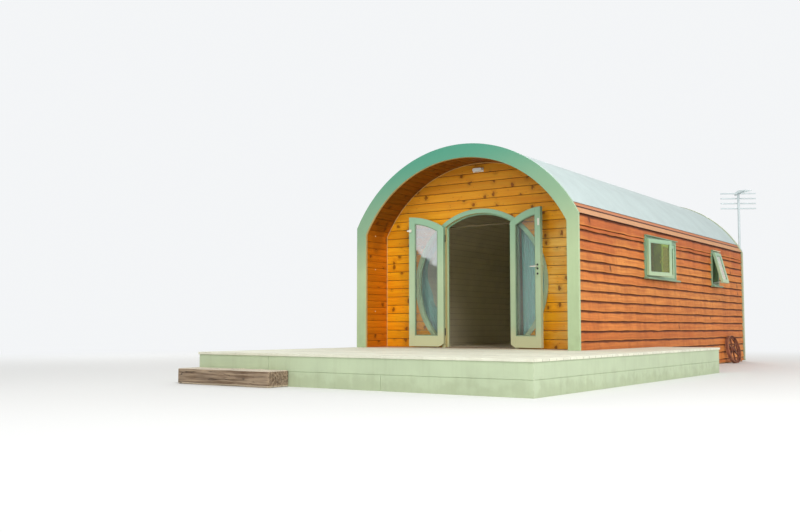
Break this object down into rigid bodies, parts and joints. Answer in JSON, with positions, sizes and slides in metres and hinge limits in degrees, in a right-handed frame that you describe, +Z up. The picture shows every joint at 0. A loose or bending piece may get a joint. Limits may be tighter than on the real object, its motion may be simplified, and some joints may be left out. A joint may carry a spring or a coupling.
{
  "type": "shepherds hut",
  "caption": "Barrel-roofed garden cabin with an open porch, a round glazed screen with arched double doors, lapped side boards and a raised timber deck.",
  "frame": {"origin": "on the ground, on the hut's centre line, under the front face of the arch board, on the underside of the middle bearer", "axes": "+X to the right seen from the front, +Y from the porch to the rear, +Z up"},
  "size_m": [4.4587, 10.9659, 3.2],
  "materials": {
    "bearer_timber": "rough",
    "floor_boards": "matt",
    "studwork": "sawn",
    "front_boards": "satin stain",
    "sage_paint": "satin paint",
    "clear_glass": "gloss",
    "threshold_wood": "satin",
    "side_boards": "satin stain",
    "eaves_boards": "satin stain",
    "roof_lining": "matt",
    "roof_metal": "semi gloss",
    "rear_trim": "semi gloss",
    "porch_lining": "satin stain",
    "cabin_lining": "satin paint",
    "lamp_plastic": "matt",
    "fitting_white": "semi gloss",
    "fitting_black": "satin",
    "curtain_cloth": "matt",
    "deck_timber": "sawn",
    "deck_paint": "matt paint",
    "skirt_paint": "matt paint",
    "sleeper_wood": "weathered",
    "rusty_iron": "rusted",
    "galvanised": "matt"
  },
  "bodies": {
    "hut": {"floor_bearers": "bearer_timber", "floor_deck": "floor_boards", "right_wall": "studwork", "left_wall": "studwork", "rear_wall": "studwork", "front_wall_left": "studwork", "front_wall_right": "studwork", "front_wall_head": "studwork", "front_boards": "front_boards", "screen_frame": "sage_paint", "screen_glass": "clear_glass", "door_threshold": "threshold_wood", "right_boards": "side_boards", "left_boards": "side_boards", "rear_boards": "side_boards", "right_eaves": "eaves_boards", "left_eaves": "eaves_boards", "roof_shell": "roof_lining", "roof_sheet": "roof_metal", "front_arch": "sage_paint", "rear_arch": "rear_trim", "porch_lining": "porch_lining", "cabin_lining": "cabin_lining", "right_window_frames": "sage_paint", "right_window_sashes": "sage_paint", "right_window_glass": "clear_glass", "left_window_frames": "sage_paint", "left_window_sashes": "sage_paint", "left_window_glass": "clear_glass", "porch_lamp": "lamp_plastic", "door_posts_hinges": "fitting_black", "curtains": "curtain_cloth", "curtain_rail": "fitting_black", "deck_frame": "deck_timber", "deck_boards": "deck_paint", "deck_skirt": "skirt_paint", "sleeper_step": "sleeper_wood", "iron_wheel": "rusty_iron", "aerial_mast": "galvanised"},
    "door_left": {"door_left_leaf": "sage_paint", "door_left_glass": "clear_glass", "door_left_fittings": "fitting_black"},
    "door_right": {"door_right_leaf": "sage_paint", "door_right_glass": "clear_glass", "door_right_fittings": "fitting_white"}
  },
  "joints": [
    {"name": "left_door_hinge", "type": "hinge", "parent": "hut", "child": "door_left", "pos_m": [-0.535, 0.506, 0.35], "axis": [0, 0, 1], "range_deg": [-3, 171]},
    {"name": "right_door_hinge", "type": "hinge", "parent": "hut", "child": "door_right", "pos_m": [0.535, 0.506, 0.35], "axis": [0, 0, 1], "range_deg": [-165, 5]}
  ]
}
